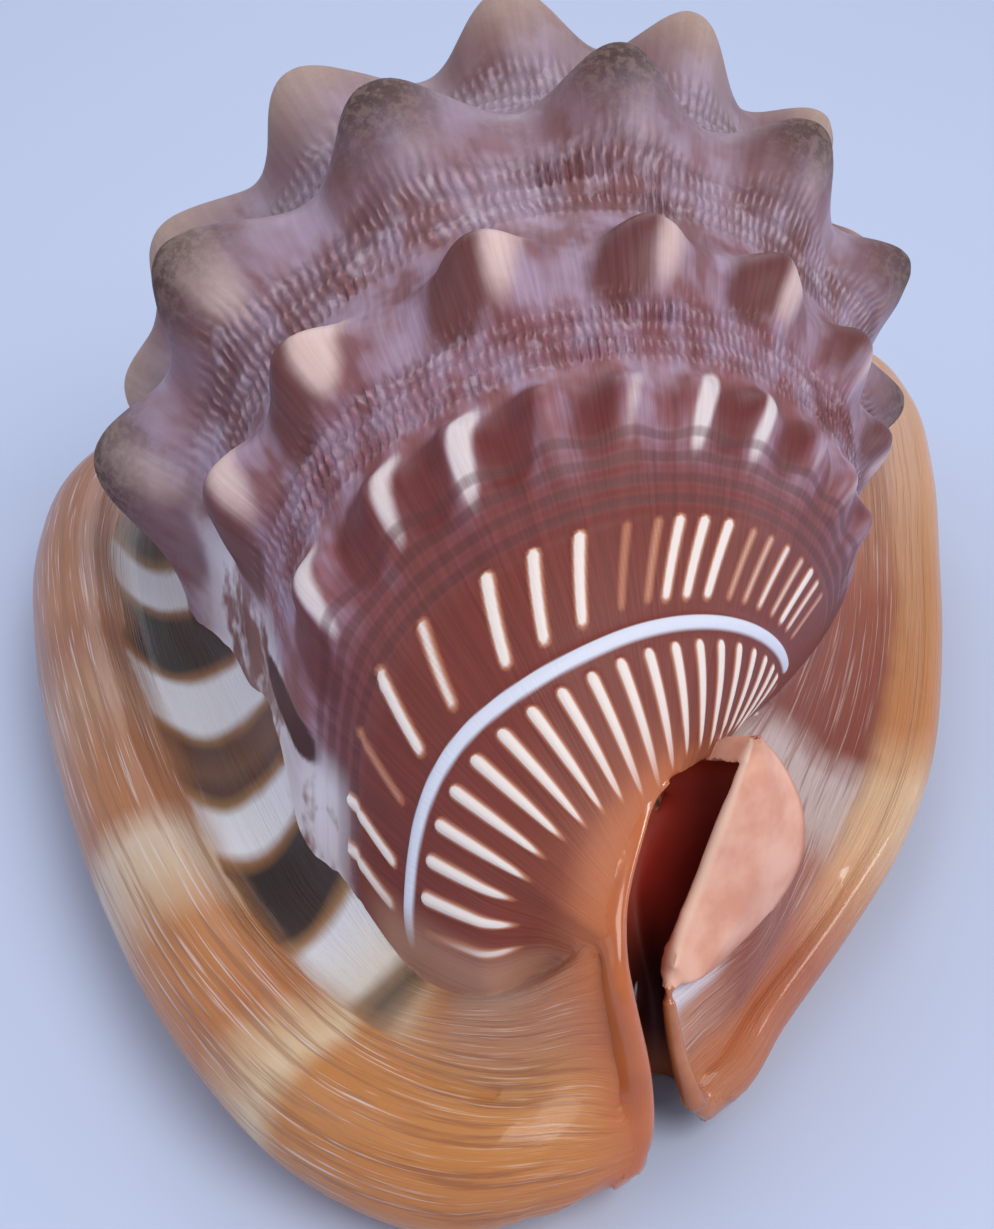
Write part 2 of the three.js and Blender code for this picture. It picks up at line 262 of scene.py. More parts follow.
# Fine surface of the whorl, in mm over the plain form
def fineRelief(angle, place):
    height = neck["ribRise"] * ribMask(angle, place)
    height += neck["threadRise"] * threadMask(angle, place)
    height += neck["dashRise"] * dashMask(angle, place)
    wrinkled = wrinkleMask(place) * (1 - smooth(angle, *relief["wrinkleEnd"]))
    drift = 0.7 * waver(place * 0.35 + angle * 0.02, 2)
    lines = np.cos(2 * np.pi * (angle + drift) / relief["wrinklePitch"])
    beaded = np.cos(2 * np.pi * place / relief["beadPitch"] + 0.6 * waver(angle * 0.12, 5))
    height += wrinkled * relief["wrinkleDepth"] * lines * (0.6 + 0.4 * waver(angle * 0.31, 3))
    height += wrinkled * relief["beadDepth"] * beaded
    threads = np.cos(2 * np.pi * place / relief["fineThread"])
    height += band(place, *relief["fineBand"], relief["fineSoft"]) * relief["fineDepth"] * threads
    grown = relief["ripple"] * waver(angle * 0.45, 7) * plateau(place, *relief["rippleSpan"])
    return plateau(angle, *relief["back"]) * (height + grown)


# Which earlier turn of the coil a place on the spire belongs to, and how far across that turn it is
def coilTurn(angle, distance):
    turn = np.radians(angle - 90)
    edge = spire["radius"] * np.exp(whorl["growth"] * turn)
    turns = np.log(edge / np.maximum(distance, 1)) / (2 * math.pi * whorl["growth"])
    earlier = np.maximum(np.floor(turns), 0)
    return turn, earlier, turns - earlier


def sutureMask(angle, place, radius):
    distance = radius * np.exp(whorl["growth"] * growthPhase(angle))
    across = coilTurn(angle, distance)[2]
    onSpire = smooth(place - spire["place"], *spire["sutureFade"])
    return hump(across, spire["sutureAt"], 1.2 * spire["sutureWide"]) * onSpire


def spirePlace(angle, distance):
    ratio = math.exp(2 * math.pi * whorl["growth"])
    turn, earlier, across = coilTurn(angle, distance)
    size = np.exp(whorl["growth"] * (turn - 2 * np.pi * earlier))
    climb = spire["ramp"] * smooth(across, *spire["rampSpan"])
    climb += (1 - spire["ramp"]) * smooth(across, *spire["stepSpan"])
    knob = spire["knobHeight"] * np.maximum(np.cos(spire["knobs"] * turn), 0) * plateau(across, *spire["knobSpan"])
    groove = spire["suture"] * hump(across, spire["sutureAt"], spire["sutureWide"])
    return spire["top"] - spire["height"] * size * (1 - (1 - 1 / ratio) * climb - knob + groove)


def whorlPlaces(angle, place, radius, pole):
    phase = growthPhase(angle)
    size = np.exp(whorl["growth"] * phase)
    raised = radius + knobField(angle, place, np.maximum(radius, 1)) + fineRelief(angle, place)
    beside = plateau(angle, *whorl["besideLip"])
    waist = beside * plateau(place, *whorl["waistSpan"])
    drawnIn = 1 - whorl["waistDepth"] * waist - whorl["lipSideDepth"] * beside
    out = raised * mixed(1, size, smooth(radius, 0, whorl["poleReach"])) * drawnIn
    out = np.where(pole, 0, out)
    x = out * np.cos(np.radians(angle))
    z = whorl["axisHeight"] + out * np.sin(np.radians(angle))
    onSpire = smooth(place, spire["place"], spire["place"] + spire["blend"])
    atTip = 1 - smooth(radius, *whorl["tipSpan"])
    slid = mixed(phase, np.minimum(phase, whorl["tipTurn"]), atTip)
    onWhorl = np.where(pole, place, place - whorl["slide"] * slid)
    y = mixed(onWhorl, spirePlace(angle, out), onSpire)
    lower = 1 - whorl["shieldSideDrop"] * smooth(x, *whorl["shieldSide"])
    z = np.maximum(z, whorl["restLevel"] + whorl["spireLift"] * smooth(y, *whorl["liftSpan"]) * lower)
    tucked = smooth(x, *whorl["tuckAcross"]) * (1 - smooth(z, *whorl["tuckBelow"]))
    y = y - whorl["tuck"] * tucked * smooth(y, *whorl["tuckAlong"])
    return np.stack([x, y, z], -1)


def makeWhorl(name):
    under = whorl["underColumns"] // 2
    low, high = whorl["back"]
    edges = np.concatenate([
        np.linspace(-90, low, under, endpoint=False),
        np.linspace(low, high, whorl["backColumns"], endpoint=False),
        np.linspace(high, 270, under, endpoint=False),
        [-90],
    ])
    spans = whorl["rowsPerSpan"]
    steps = np.concatenate([index + np.arange(count) / count for index, count in enumerate(spans)] + [[len(spans)]])
    profile = np.array(whorl["profile"], float)
    last = len(profile) - 1

    def profileAt(step):
        index = np.clip(np.floor(step).astype(int), 0, last - 1)
        part = (step - index)[..., None]
        before, start = profile[np.maximum(index - 1, 0)], profile[index]
        stop, after = profile[index + 1], profile[np.minimum(index + 2, last)]
        return cubic(start, stop, (stop - before) / 2, (after - start) / 2, part)

    def shape(across, along):
        angle = edges[np.round(across * (len(edges) - 1)).astype(int)]
        row = np.round(along * (len(steps) - 1)).astype(int)
        half = profileAt(steps[row])
        pole = (row == 0) | (row == len(steps) - 1)
        angle = np.where(pole, 90, angle)
        places = whorlPlaces(angle, half[:, 0], half[:, 1], pole)
        return places, np.stack([angle, half[:, 0], half[:, 1]], -1)

    return shapedGrid(name, len(edges) - 1, len(steps) - 1, shape)


# The outer lip and the shield, as lines from end to end: rim, crease against the whorl, mouth
lip = dict(
    rim=[[-17, 110, 22], [-38, 117, 14], [-63, 108, 11], [-74, 93, 10], [-75.3, 75, 9.5], [-71, 51, 9],
         [-64, 27.5, 9], [-56, 6.5, 9], [-46, -13, 9], [-34, -27.7, 8.5], [-21, -34, 8], [-9.5, -33, 8],
         [-1.6, -27.5, 8]],
    crease=[[-10, 103, 31], [-27, 102, 29], [-40, 95, 27], [-48, 84, 26], [-51, 66, 25], [-47, 46, 24.5],
            [-40.5, 28, 25.5], [-34, 9, 27.5], [-29, -3, 24], [-22, -15.5, 18.5], [-15.5, -21.5, 21.5],
            [-9.5, -22.4, 27], [-3.5, -19.5, 29]],
    mouth=[[-15, 100, 0], [-17, 96, 0], [-20, 89, 0], [-22.5, 79, 0], [-23.5, 67, 0], [-22.5, 53, 0],
           [-19.5, 36, 0], [-14.5, 17, 0], [-9.5, 2, 0], [-5.5, -8, 0], [-2.5, -14, 0], [0, -17.5, 0],
           [2.5, -20, 0]],
    roll=7.5, sag=6, columns=300, canalFirst=False,
)
shield = dict(
    rim=[[0.5, -23.2, 4.5], [8.4, -17.4, 5], [13, -10.8, 6], [22.5, 2, 7], [29.5, 12, 8.5], [36, 25, 10],
         [42, 45, 12], [46, 63, 14], [49.8, 82, 16], [51, 100, 18.5], [47, 113, 20], [32, 119, 20],
         [4.4, 108.1, 25]],
    crease=[[-4, -21.5, 18.5], [5, -12, 18], [11, -7, 18], [11, 1, 21], [11, 11, 22], [17, 25, 23],
            [24, 43, 23], [28, 62, 24], [30, 80, 25], [30, 95, 27], [26, 102, 30], [16, 104, 31], [2, 104, 32]],
    mouth=[[-3, -21.5, 0], [-1.2, -18.5, 0]] + lip["mouth"][10::-1],
    roll=3, sag=2.5, columns=220, canalFirst=True,
)
lipForm = dict(
    coreHeight=24, coreSpan=(-0.02, 0.16), overlap=1.5, narrowRoll=0.35, lowRoll=1.2, flatRoll=1.6,
    frontSpan=(-16, 8), canalFill=1.6, arc=(-50, 100), strands=dict(under=10, rim=20, channel=26, core=4),
    lineDepth=0.1, linesAcross=13, rimLines=1.4, channelLines=3, lineTurn=(-30, 10),
    teeth=21, toothDepth=1.6, toothReach=7, toothLow=0.35,
)


# Fine raised lines that run along a lip, strongest on the rim and round the canal
def lipLines(share, rise, front):
    lines = waver(rise * lipForm["linesAcross"] + 0.3 * waver(share * 9, 4), 11)
    return lipForm["lineDepth"] * lines * (0.35 + 0.65 * front)


def makeLip(name):
    line = dict(lip=lip, shield=shield)[name]
    counts = list(lipForm["strands"].values())

    def form(share, along):
        rim, crease, mouth = (curveThrough(line[part], share) for part in ("rim", "crease", "mouth"))
        outward = (rim - mouth) * [1, 1, 0]
        width = np.linalg.norm(outward, axis=1)
        outward /= width[:, None]
        roll = np.minimum(line["roll"], width * lipForm["narrowRoll"])
        lowest = np.maximum(rim[:, 2] - roll * lipForm["lowRoll"], 0)
        front = 1 - smooth(mouth[:, 1], *lipForm["frontSpan"])
        sag = line["sag"] * (1 - lipForm["canalFill"] * front)

        def onRim(turn):
            turn = np.radians(turn)
            spot = rim + outward * (roll * (np.cos(turn) - 1))[:, None]
            spot[:, 2] = np.maximum(rim[:, 2] + roll * np.sin(turn), lowest)
            return spot

        inner = mouth - outward * lipForm["overlap"]
        flatEnd = rim - outward * (roll * lipForm["flatRoll"] + lowest)[:, None]
        flatEnd[:, 2] = 0
        crest = onRim(np.full(len(share), lipForm["arc"][1]))
        top = inner.copy()
        fromCanal = share if line["canalFirst"] else 1 - share
        top[:, 2] = lipForm["coreHeight"] * smooth(fromCanal, *lipForm["coreSpan"])
        ring, strand, part = alongRing(along, counts)
        under = mixed(inner, flatEnd, part[:, None])
        distance = np.linalg.norm(under - mouth, axis=1)
        tooth = 0.5 + 0.5 * np.cos(2 * np.pi * lipForm["teeth"] * share)
        rounded = 1 - smooth(distance, 0, lipForm["toothReach"])
        cut = lipForm["toothDepth"] * rounded * mixed(1, lipForm["toothLow"], tooth)
        under[:, 2] += cut * (1 - np.abs(2 * share - 1) ** 6)
        turn = mixed(*lipForm["arc"], part)
        rimSpot = onRim(turn)
        channel = mixed(crest, crease, part[:, None])
        channel[:, 2] -= sag * np.sin(np.pi * part)
        onRoll = strand == 1
        rimRise = part * lipForm["rimLines"]
        rise = np.where(onRoll, rimRise, lipForm["rimLines"] + part * lipForm["channelLines"])
        lines = lipLines(share, rise, front + 0.5 * onRoll)
        rimSpot += outward * (lines * smooth(turn, *lipForm["lineTurn"]))[:, None]
        channel[:, 2] += lines * np.sin(np.pi * part)
        core = mixed(crease, top, part[:, None])
        spots = pick([under, rimSpot, channel, core], strand)
        spots = np.where(((ring == sum(counts)) | (ring == 0))[:, None], inner, spots)
        middle = (inner + crest + crease + flatEnd + top) / 5
        height = np.select([strand == 0, onRoll, strand == 2], [-1 + part * 0.2, -0.8 + 0.8 * part, part], 1)
        return spots, middle, (height, width)

    return makeTube(name, line["columns"] - 2, sum(counts), form)


# The mouth slit, with the spaces between its teeth
mouth = dict(
    half=4.2, depth=17, reach=1.1, teeth=21, steps=168, first=0.02, last=0.97, endSpan=(-0.03, 0.12),
    canalSpan=(0.7, 0.86), canalHalf=0.35, canalDepth=7, shoulder=0.75, below=-1,
    corners=[[-1, -1], [1, -1], [1, 0.8], [0.8, 1], [-0.8, 1], [-1, 0.8]],
)


def makeMouth(name):
    corners = np.array(mouth["corners"], float)
    count = len(corners)

    def form(step, along):
        share = mixed(mouth["first"], mouth["last"], step)
        spot = curveThrough(lip["mouth"], share)
        ahead = curveThrough(lip["mouth"], np.minimum(share + 1e-3, 1))
        run = unit(ahead - curveThrough(lip["mouth"], share - 1e-3))
        side = np.stack([-run[:, 1], run[:, 0], np.zeros(len(run))], -1)
        nearCanal = smooth(share, *mouth["canalSpan"])
        tooth = mouth["reach"] * np.cos(2 * np.pi * mouth["teeth"] * share) * (1 - nearCanal)
        half = (mouth["half"] + tooth) * smooth(share, *mouth["endSpan"]) * mixed(1, mouth["canalHalf"], nearCanal)
        corner = corners[np.round(along * count).astype(int) % count]
        depth = mixed(mouth["depth"], mouth["canalDepth"], nearCanal)
        level = np.where(corner[:, 1] < 0, mouth["below"], depth * mixed(mouth["shoulder"], 1, corner[:, 1]))
        places = spot + side * (half * corner[:, 0])[:, None]
        places[:, 2] = level
        centre = spot + [0, 0, mouth["depth"] / 2]
        return places, centre, (corner[:, 0], level)

    return makeTube(name, mouth["steps"], count, form)


# The siphonal canal at each height: left wall, back, deepest place under the flap, open edge on the right
canal = dict(
    levels=[[-1, -2.2, -12, 2.8, -14, 4.4, -18], [6, -2.4, -12, 2.1, -14, 2.3, -18],
            [12, -2.7, -12, 0.9, -13.5, 0.8, -17.5], [17, -3.5, -10, -0.2, -13, -0.3, -17],
            [20, -4.2, -7, 0.4, -13.5, -1, -16.8], [23, -4.7, -4, 3, -11.4, 0.4, -14.6],
            [26, -5.1, -1.5, 7, -8.6, 2, -12], [30.5, -4.9, -1, 9, -5.4, 4, -9.7],
            [33, -3.5, -4, 9.6, -4.4, 5.3, -8.4], [34.6, -1.9, -7.2, 9.4, -4.6, 6, -7.5],
            [36.6, 0.5, -9, 9.2, -4.2, 7.6, -4.6], [42, 3, -10, 12, -4, 11, -4.5]],
    front=-60, steps=90, strands=[2, 2, 5, 5, 5, 4, 6, 2, 1],
)


def makeCanal(name):
    counts = canal["strands"]

    def form(share, along):
        level, left, back, deepX, deepY, edgeX, edgeY = np.moveaxis(curveThrough(canal["levels"], share), -1, 0)
        front = np.full_like(level, canal["front"])
        stops = [(left, front), (left, mixed(front, back, 0.6)), (left, back - 4.5),
                 (mixed(left, deepX, 0.2), back - 1), (mixed(left, deepX, 0.55), back),
                 (deepX - 0.6, mixed(back, deepY, 0.45)), (deepX, deepY), (edgeX, edgeY), (edgeX, front),
                 (left, front)]
        ring, strand, part = alongRing(along, counts)
        spots = [np.stack([x, y, level], -1) for x, y in stops]
        places = mixed(pick(spots[:-1], strand), pick(spots[1:], strand), part[:, None])
        centre = np.stack([(left + edgeX) / 2, (front + back) / 2, level], -1)
        return places, centre, (ring / sum(counts), level)

    return makeTube(name, canal["steps"], sum(counts), form)


# The flap that stands over the canal, filled back to the neck before the canal is cut
flap = dict(
    edge=[[8.2, -5.6, 36.6], [6.4, -9, 34.2], [4.6, -11.2, 30.5], [2.6, -13.4, 26], [0.8, -16, 22.5],
          [-0.5, -18.8, 18.2]],
    side=[[8.9, -4.6, 36.4], [11.6, -4.4, 32.6], [13.6, -5.4, 28.2], [13.6, -7, 23.5], [11, -9, 19], [5, -13.5, 16]],
    root=[[6.5, -2.5, 34.8], [3.5, 0, 31.5], [1, 1, 28], [0, -2, 24.5], [-1, -6, 21], [-1.5, -11, 17]],
    bulge=[0.4, -1.2, 0.6], back=[1, 8, -5], deepSpan=(-0.15, 0.4), columns=80, ring=50,
)


def makeFlap(name):
    def form(share, along):
        edge, side, root = (curveThrough(flap[part], share) for part in ("edge", "side", "root"))
        deep = smooth(share, *flap["deepSpan"])[:, None]
        stops = [edge, (edge + side) / 2 + flap["bulge"], side, side + deep * flap["back"], root, edge]
        last = len(stops) - 1
        place = np.round(along * flap["ring"]).astype(int) / flap["ring"] * last
        index = np.clip(np.floor(place).astype(int), 0, last - 1)
        around = mixed(pick(stops[:-1], index), pick(stops[1:], index), (place - index)[:, None])
        return around, sum(stops[:-1]) / last, (np.minimum(place, last - place), np.zeros_like(place))

    return makeTube(name, flap["columns"], flap["ring"], form)


# Rolled edges of the canal, and a roll between the far ends of lip and shield: x, y, z, thickness
beads = dict(
    left=[[0.4, -9.4, 35, 0.1], [-1.4, -10.9, 34.5, 0.5], [-3.2, -14.6, 33, 0.8], [-5.2, -20, 30.2, 1],
          [-5.6, -23.6, 27, 1.3], [-5, -25.4, 23, 1.5], [-3.9, -26, 17.5, 1.6], [-3.3, -26.8, 12.5, 1.7],
          [-3.7, -27.9, 8.6, 1.8], [-5.2, -29, 6.6, 1.7], [-7.4, -29.7, 5.8, 1.2], [-10, -30, 5.6, 0.5]],
    right=[[-0.1, -18.3, 18.6, 0.5], [0.1, -18.9, 16.4, 0.8], [0.9, -20.1, 12.1, 1], [2.2, -21, 7.8, 1.3],
           [3.4, -21.1, 5.2, 1.6], [5, -19.4, 4.4, 1.5], [7.6, -16.4, 4.2, 0.7]],
    bridge=[[-30, 108, 11, 3.5], [-18, 106, 14, 7], [-6, 103.5, 16.5, 8.5], [4, 101, 16, 6.5], [12, 102, 14, 3]],
    sideways=[0, 1, 0.15], columns=72, ring=14,
)


def makeBead(name):
    def form(share, along):
        spot = curveThrough(beads[name], share)
        ahead, back = (curveThrough(beads[name], np.clip(share + step, 0, 1)) for step in (0.01, -0.01))
        run = unit((ahead - back)[:, :3])
        side = unit(np.cross(run, beads["sideways"]))
        lift = np.cross(run, side)
        turn = 2 * np.pi * np.round(along * beads["ring"]) / beads["ring"]
        ring = side * np.cos(turn)[:, None] + lift * np.sin(turn)[:, None]
        return spot[:, :3] + ring * spot[:, 3:], spot[:, :3], (turn, spot[:, 3])

    return makeTube("bead " + name, beads["columns"], beads["ring"], form)


# Joining and cutting, with each source piece kept apart by its material
def combine(target, tool, operation):
    step = target.modifiers.new("join", "BOOLEAN")
    step.object = tool
    step.operation = operation
    step.solver = "MANIFOLD"
    step.material_mode = "TRANSFER"
    depsgraph = bpy.context.evaluated_depsgraph_get()
    made = bpy.data.meshes.new_from_object(target.evaluated_get(depsgraph))
    target.modifiers.clear()
    target.data = made
    print("  ", operation.lower(), tool.name, len(made.polygons), "faces")


makers = dict(whorl=makeWhorl, lip=makeLip, shield=makeLip, flap=makeFlap, canal=makeCanal, mouth=makeMouth,
              left=makeBead, right=makeBead, bridge=makeBead)
cutters = ("canal", "mouth")
bpy.context.view_layer.update()
sources = {}
for sourceName, maker in makers.items():
    sources[sourceName] = maker(sourceName)
    print("made", sourceName, len(sources[sourceName].data.polygons), "faces")
    sources[sourceName].data.materials.append(bpy.data.materials.new("shell " + sourceName))

shell = sources["whorl"].copy()
shell.data = sources["whorl"].data.copy()
shell.name = "helmet_shell"
bpy.context.scene.collection.objects.link(shell)
for sourceName in list(makers)[1:]:
    combine(shell, sources[sourceName], "DIFFERENCE" if sourceName in cutters else "UNION")


def readNumbers(items, name):
    values = np.zeros(len(items), int)
    items.foreach_get(name, values)
    return values


def readNotes(mesh):
    values = np.zeros(len(mesh.vertices) * 3)
    mesh.attributes["notes"].data.foreach_get("vector", values)
    return values.reshape(-1, 3)


def treeOf(mesh):
    tree = KDTree(len(mesh.vertices))
    for vert in mesh.vertices:
        tree.insert(vert.co, vert.index)
    tree.balance()
    return tree


# Each corner keeps the coil or lip coordinates of the piece that its face came from
def cornerNotes(mesh, names):
    cornerVerts = readNumbers(mesh.loops, "vertex_index")
    faceRegion = readNumbers(mesh.polygons, "material_index")
    region = np.repeat(faceRegion, readNumbers(mesh.polygons, "loop_total"))
    corners = readNotes(mesh)[cornerVerts]
    lowest = np.full(len(mesh.vertices), len(names))
    highest = np.zeros(len(mesh.vertices), int)
    np.minimum.at(lowest, cornerVerts, region)
    np.maximum.at(highest, cornerVerts, region)
    onJoin = (lowest != highest)[cornerVerts]
    for index, name in enumerate(names):
        source = sources[name].data
        tree, notes = treeOf(source), readNotes(source)
        here = np.where((region == index) & onJoin)[0]
        nearest = {vert: tree.find(mesh.vertices[vert].co)[1] for vert in set(cornerVerts[here].tolist())}
        corners[here] = notes[[nearest[vert] for vert in cornerVerts[here].tolist()]]
    return corners, region


# Rounding of the lines where two pieces meet; a notch is x, y, z and the reach of its rounding
joins = dict(
    rounds=7, rings=3, rolled=("left", "right", "canal"), lineRounds=12, blended=("whorl", "lip"),
    blendReach=(5, 4, 2.5, 1), lipReach=5, blendRounds=12, notchRounds=40,
    notches=[(3.4, -21.7, 2, 5), (-6.2, -31.4, 2.5, 5.5), (0, -18, 18.5, 1.6)],
)


def relax(bm, verts, rounds):
    for _ in range(rounds):
        bmesh.ops.smooth_vert(bm, verts=verts, factor=0.5, use_axis_x=True, use_axis_y=True, use_axis_z=True)


def softenJoins(mesh, names, edgeTree):
    bm = bmesh.new()
    bm.from_mesh(mesh)
    seamEdges = [edge for edge in bm.edges if len({face.material_index for face in edge.link_faces}) > 1]
    seam = {vert for edge in seamEdges for vert in edge.verts}
    beside = {vert: [] for vert in seam}
    for first, second in (edge.verts for edge in seamEdges):
        beside[first].append(second)
        beside[second].append(first)

    def drawLines():
        for _ in range(joins["lineRounds"]):
            drawn = {vert: (vert.co + (near[0].co + near[1].co) / 2) / 2
                     for vert, near in beside.items() if len(near) == 2}
            for vert, place in drawn.items():
                vert.co = place

    def vertsOf(*wanted):
        indices = {names.index(name) for name in wanted}
        return {vert for face in bm.faces if face.material_index in indices for vert in face.verts}

    drawLines()
    for _ in range(joins["rings"]):
        seam |= {edge.other_vert(vert) for vert in list(seam) for edge in vert.link_edges}
    roll = vertsOf(*joins["rolled"])
    relax(bm, list(seam), joins["rounds"])
    relax(bm, list(roll), joins["rounds"])
    drawLines()
    onLip = vertsOf("lip")
    blended = vertsOf(*joins["blended"]) - roll
    far = {vert: edgeTree.find(vert.co)[2] - joins["lipReach"] * (vert in onLip) for vert in blended}
    for reach in joins["blendReach"]:
        relax(bm, [vert for vert in blended if far[vert] < reach], joins["blendRounds"])
    for x, y, z, reach in joins["notches"]:
        around = [vert for vert in bm.verts if (vert.co - Vector((x, y, z))).length < reach]
        relax(bm, around, joins["notchRounds"])
    axis = Vector((0, 0, whorl["axisHeight"]))
    coil = [vert for vert in bm.verts if vert.co.y > spire["place"] + spire["softFrom"]
            and ((vert.co - axis) * Vector((1, 0, 1))).length < spire["softReach"]
            and all(face.material_index == 0 for face in vert.link_faces)]
    relax(bm, coil, spire["softRounds"])
    for vert in bm.verts:
        vert.co.z = max(vert.co.z, 0)
    bm.to_mesh(mesh)
    bm.free()


def addField(mesh, name, values):
    layer = mesh.attributes.new(name, "FLOAT_VECTOR", "CORNER")
    layer.data.foreach_set("vector", np.ascontiguousarray(values, dtype=np.float32).ravel())


# Where the marks of the whorl lie: growth flank of the knobs, its own red with painted shade on the side away from
# the light; pale crest, its own pale colour with painted highlight on the lit side; worn tip of the knobs, dark
# lens, glaze by the lip
marks = dict(
    lower=dict(flank=(5.6, 5.8), drop=0.5, crest=1.9, lean=0.45, shift=1.2,
               pale=[0.25, 0.4, 0.45, 0.8, 1, 0.5, 0.2, 1, 0.75, 0.8],
               red=[0.4, 0.4, 0.7, 0.8, 0.35, 0.7, 1, 0.9, 0.9, 1]),
    middle=dict(flank=(3.6, 6), drop=2, crest=3.4, lean=0.3, shift=3.2,
                pale=[0.5, 0.55, 0.6, 0.55, 0.6, 0.75, 0.6], red=[0.6, 0.6, 0.8, 0.8, 0.85, 0.95, 1]),
    upper=dict(flank=(6, 7), drop=2.5, crest=4, lean=0, shift=2,
               pale=[0.45, 0.4, 0.45, 0.3, 0.4, 0.75, 0.6], red=[0.5, 0.5, 0.6, 0.6, 0.7, 0.9, 1]),
    shoulder=dict(flank=(6, 7), drop=2, crest=4, lean=0, shift=1.2, pale=[0.35] * 9, red=[0.7] * 9),
    worn=("shoulder", "upper"), lens=dict(angle=175, place=24.5, lean=0.2, wide=3.8, long=9.5, edge=(0.75, 1.15)),
    callus=(166, 176), callusSpan=(9, 14, 46, 62), wrinkleSpan=(-30, -5, 156, 172), edgeReach=3.2, sharpAngle=52,
)


# Flank: the knob's red with painted shade on the side away from the light; crest: its pale colour with painted
# highlight on the lit side; tip: wear
def knobMarksAndLight(angle, place, radius):
    flank, crest, tip = (np.zeros_like(place) for _ in range(3))
    for name, row in knobRows.items():
        mark = marks[name]
        along = (place - row["place"]) / row["long"]
        leant = angle + mark["lean"] * (place - row["place"])
        offset, wide = mark["flank"]
        onRow = np.exp(-np.abs((along + mark["drop"] / row["long"]) / 1.2) ** 3)
        onCrest = np.exp(-np.abs(along / 1.25) ** 4)
        for knob, pale, red in zip(row["angles"], mark["pale"], mark["red"]):
            flank = np.maximum(flank, red * hump(leant, knob + offset, wide) * onRow)
            crest = np.maximum(crest, pale * hump(leant, knob - mark["shift"], mark["crest"]) * onCrest)
            if name in marks["worn"]:
                across = np.radians(angle - knob) * radius / row["wide"]
                tip = np.maximum(tip, np.exp(-((across**2 + along**2) / 0.55) ** 1.5))
    return np.stack([flank, crest, tip], -1)


def glazeMarks(angle, place):
    lens = marks["lens"]
    shifted = (angle - lens["angle"]) - lens["lean"] * (place - lens["place"])
    oval = (np.abs(shifted) / lens["wide"]) ** 3 + (np.abs(place - lens["place"]) / lens["long"]) ** 3
    edge = angle + 3 * waver(place * 0.22, 8)
    callus = smooth(edge, *marks["callus"]) * plateau(place, *marks["callusSpan"])
    wrinkled = wrinkleMask(place) * plateau(angle, *marks["wrinkleSpan"])
    return np.stack([callus, 1 - smooth(oval, *lens["edge"]), wrinkled], -1)


skin = shell.data
regions = list(sources)
leftEdge = treeOf(sources["left"].data)
softenJoins(skin, regions, leftEdge)
cornerPlace, cornerRegion = cornerNotes(skin, regions)
angleHere, placeHere, radiusHere = cornerPlace.T
onWhorl = (cornerRegion == 0)[:, None]
addField(skin, "lipPlace", np.where(onWhorl, 0, cornerPlace))
whorlFields = dict(
    spiral=cornerPlace, glazeMarks=glazeMarks(angleHere, placeHere),
    neckMarks=np.stack([mask(angleHere, placeHere) for mask in (ribMask, threadMask, dashMask)], -1),
    knobMarksAndLight=knobMarksAndLight(angleHere, placeHere, radiusHere),
)
for fieldName, values in whorlFields.items():
    addField(skin, fieldName, np.where(onWhorl, values, 0))
edgeFar = np.array([leftEdge.find(vert.co)[2] for vert in skin.vertices])
edgeGlow = np.exp(-(edgeFar / marks["edgeReach"]) ** 1.4)[readNumbers(skin.loops, "vertex_index")]
suture = np.where(onWhorl[:, 0], sutureMask(angleHere, placeHere, radiusHere), 0)
addField(skin, "edgeGlow", np.stack([edgeGlow, suture, np.zeros_like(suture)], -1))
skin.transform(Matrix.Translation(Vector(axisInFrame * millimetre)) @ Matrix.Scale(millimetre, 4))
skin.shade_smooth()
skin.set_sharp_from_angle(angle=math.radians(marks["sharpAngle"]))
skin.attributes.remove(skin.attributes["notes"])
for source in sources.values():
    bpy.data.objects.remove(source)
print("shell joined,", len(skin.polygons), "faces")


# Material nodes, added to the tree of the look that glaze started last
look = {}
glazing = {"Specular IOR Level": 0.35, "Subsurface Weight": 0.06, "Subsurface Radius": (1, 0.45, 0.3),
           "Subsurface Scale": 0.0015}


def linear(code):
    parts = [int(code[k:k + 2], 16) / 255 for k in (1, 3, 5)]
    return [part / 12.92 if part <= 0.04045 else ((part + 0.055) / 1.055) ** 2.4 for part in parts] + [1]


def addNode(kind):
    return look["tree"].nodes.new("ShaderNode" + kind)


def feed(socket, value):
    if isinstance(value, bpy.types.NodeSocket):
        look["tree"].links.new(value, socket)
    else:
        socket.default_value = linear(value) if isinstance(value, str) else value


def feedAll(node, *values):
    for socket, value in zip(node.inputs, values):
        feed(socket, value)
    return node.outputs[0]


def feedNamed(node, values):
    for name, value in values.items():
        feed(node.inputs[name], value)
    return node.outputs[0]


def maths(operation, *values):
    node = addNode("Math")
    node.operation = operation
    return feedAll(node, *values)


def times(first, second):
    return maths("MULTIPLY", first, second)


def plus(first, second):
    return maths("ADD", first, second)


def scaled(value, factor, offset):
    return maths("MULTIPLY_ADD", value, factor, offset)


def wave(value, pitch):
    return maths("SINE", times(value, 2 * math.pi / pitch))


# A coordinate pushed to and fro by a cloud, over the given reach
def shaken(value, cloudy, reach):
    return plus(value, scaled(cloudy, reach, -reach / 2))


def ease(value, low, high, start=0, stop=1):
    node = addNode("MapRange")
    node.interpolation_type = "SMOOTHSTEP"
    return feedAll(node, value, low, high, start, stop)


def between(value, low, high, soft):
    return times(ease(value, low - soft, low + soft), ease(value, high - soft, high + soft, 1, 0))


def tint(share, first, second, mode="MIX"):
    node = addNode("Mix")
    node.data_type = "RGBA"
    node.blend_type = mode
    feed(node.inputs[0], share)
    feed(node.inputs[6], first)
    feed(node.inputs[7], second)
    return node.outputs[2]


# Lays tones over a colour, each by its own share
def painted(colour, layers):
    for share, tone in layers:
        colour = tint(share, colour, tone)
    return colour


def grey(value):
    return value, value, value, 1


def field(name):
    node = addNode("Attribute")
    node.attribute_name = name
    split = addNode("SeparateXYZ")
    feed(split.inputs[0], node.outputs["Vector"])
    return tuple(split.outputs)


